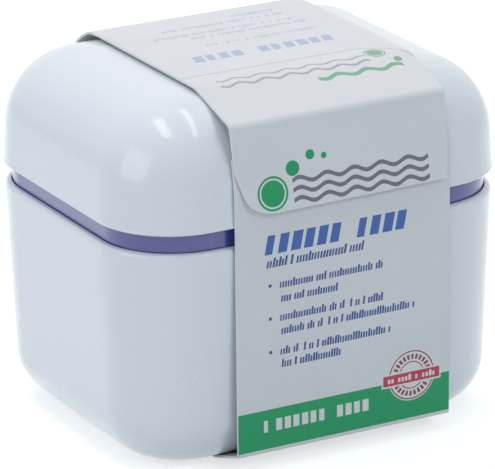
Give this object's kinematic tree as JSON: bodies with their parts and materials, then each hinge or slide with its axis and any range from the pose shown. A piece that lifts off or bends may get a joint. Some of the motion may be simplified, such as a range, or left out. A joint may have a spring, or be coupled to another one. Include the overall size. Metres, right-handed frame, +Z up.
{
  "type": "denture case",
  "caption": "Rounded denture bath with a hinged domed lid, a slotted rinse basket with a folding handle that shows as a blue band, and a creased card sleeve.",
  "frame": {"origin": "on the resting face, midway between the case's sides and between its front and rear walls", "axes": "+X to the right as seen from the front, +Y to the rear hinge, +Z up"},
  "size_m": [0.0982, 0.0881, 0.0851],
  "materials": {
    "white_plastic": "glossy moulded polypropylene",
    "blue_plastic": "glossy moulded polypropylene",
    "coated_card": "satin coated paperboard"
  },
  "bodies": {
    "tub": {"tub_shell": "white_plastic", "hinge_pin": "white_plastic"},
    "lid": {"lid_shell": "white_plastic"},
    "basket": {"rinse_basket": "blue_plastic"},
    "handle": {"basket_handle": "blue_plastic"},
    "sleeve": {"sleeve_body": "coated_card", "sleeve_rear_bend": "coated_card"},
    "sleeve_upper": {"sleeve_top": "coated_card"},
    "flap": {"sleeve_flap": "coated_card"}
  },
  "joints": [
    {"name": "lid_hinge", "type": "hinge", "parent": "tub", "child": "lid", "pos_m": [0, 0.04315, 0.0577], "axis": [-1, 0, 0], "range_deg": [0, 110]},
    {"name": "basket_lift", "type": "slide", "parent": "tub", "child": "basket", "axis": [0, 0, 1], "range_m": [0, 0.058]},
    {"name": "handle_swing", "type": "hinge", "parent": "basket", "child": "handle", "pos_m": [0, 0, 0.0581], "axis": [-1, 0, 0], "range_deg": [0, 90]},
    {"name": "sleeve_slide", "type": "slide", "parent": "tub", "child": "sleeve", "axis": [1, 0, 0], "range_m": [-0.08, 0.08]},
    {"name": "sleeve_bend", "type": "hinge", "parent": "sleeve", "child": "sleeve_upper", "pos_m": [0, 0.04315, 0.0577], "axis": [-1, 0, 0], "range_deg": [0, 110], "deforming": ["sleeve_rear_bend"]},
    {"name": "flap_crease", "type": "hinge", "parent": "sleeve_upper", "child": "flap", "pos_m": [0, -0.0383, 0.0799], "axis": [-1, 0, 0], "range_deg": [0, 120]}
  ],
  "couplings": [
    {"joint": "basket_lift", "follows": "lid_hinge", "m_per_rad": 0.03},
    {"joint": "handle_swing", "follows": "lid_hinge", "ratio": 0.818},
    {"joint": "sleeve_bend", "follows": "lid_hinge", "ratio": 1}
  ]
}
